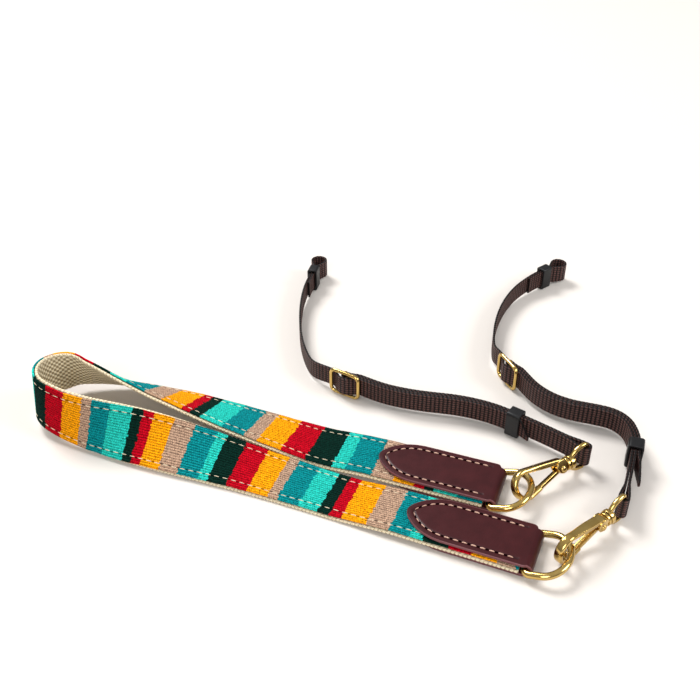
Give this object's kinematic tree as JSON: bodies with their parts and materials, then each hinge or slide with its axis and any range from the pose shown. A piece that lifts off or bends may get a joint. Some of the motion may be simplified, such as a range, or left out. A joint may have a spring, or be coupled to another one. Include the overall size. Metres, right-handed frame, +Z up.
{
  "type": "camera strap",
  "caption": "Striped textile camera strap lying in a loop, with leather ends, brass rings and snap hooks, and narrow adjustable webbing with slides and keepers.",
  "frame": {"origin": "middle of the outline's bounding box, on the surface that the strap lies on", "axes": "+Z up from the surface, +X along the strap's length from the bend towards the hooks, +Y away from the viewer"},
  "size_m": [0.275, 0.2316, 0.0293],
  "materials": {
    "kilim": "coarse woven stripes",
    "canvas": "coarse plain weave",
    "leather": "satin",
    "brass": "polished",
    "webbing": "ribbed narrow webbing",
    "keeper": "satin"
  },
  "bodies": {
    "strap": {"band_face": "kilim", "band_lining": "canvas", "near_tab": "leather", "far_tab": "leather", "near_ring": "brass", "far_ring": "brass", "near_eye": "brass", "far_eye": "brass", "right_webbing": "webbing", "left_lug_webbing": "webbing", "left_hook_webbing": "webbing", "right_slide": "brass", "left_slide": "brass", "right_hook_keeper": "keeper", "left_hook_keeper": "keeper", "right_lug_keeper": "keeper", "left_lug_keeper": "keeper"},
    "near_hook": {"near_hook": "brass"},
    "near_gate": {"near_gate": "brass"},
    "far_hook": {"far_hook": "brass"},
    "far_gate": {"far_gate": "brass"}
  },
  "joints": [
    {"name": "near_hook_swivel", "type": "hinge", "parent": "strap", "child": "near_hook", "pos_m": [0.09384, -0.10161, 0.0071], "axis": [0.7659, 0.6427, 0.0175], "range_deg": [-8, 8]},
    {"name": "near_gate_hinge", "type": "hinge", "parent": "near_hook", "child": "near_gate", "pos_m": [0.10879, -0.08908, 0.00684], "axis": [-0.6428, 0.766, 0], "range_deg": [0, 20], "stiffness_Nm_per_rad": 0.01, "springref_deg": -11.46},
    {"name": "far_hook_swivel", "type": "hinge", "parent": "strap", "child": "far_hook", "pos_m": [0.08249, -0.06694, 0.00743], "axis": [0.8386, 0.5446, 0.008], "range_deg": [-6, 8]},
    {"name": "far_gate_hinge", "type": "hinge", "parent": "far_hook", "child": "far_gate", "pos_m": [0.09901, -0.05657, 0.00706], "axis": [-0.4683, 0.7285, -0.5], "range_deg": [0, 20], "stiffness_Nm_per_rad": 0.01, "springref_deg": -11.46}
  ]
}
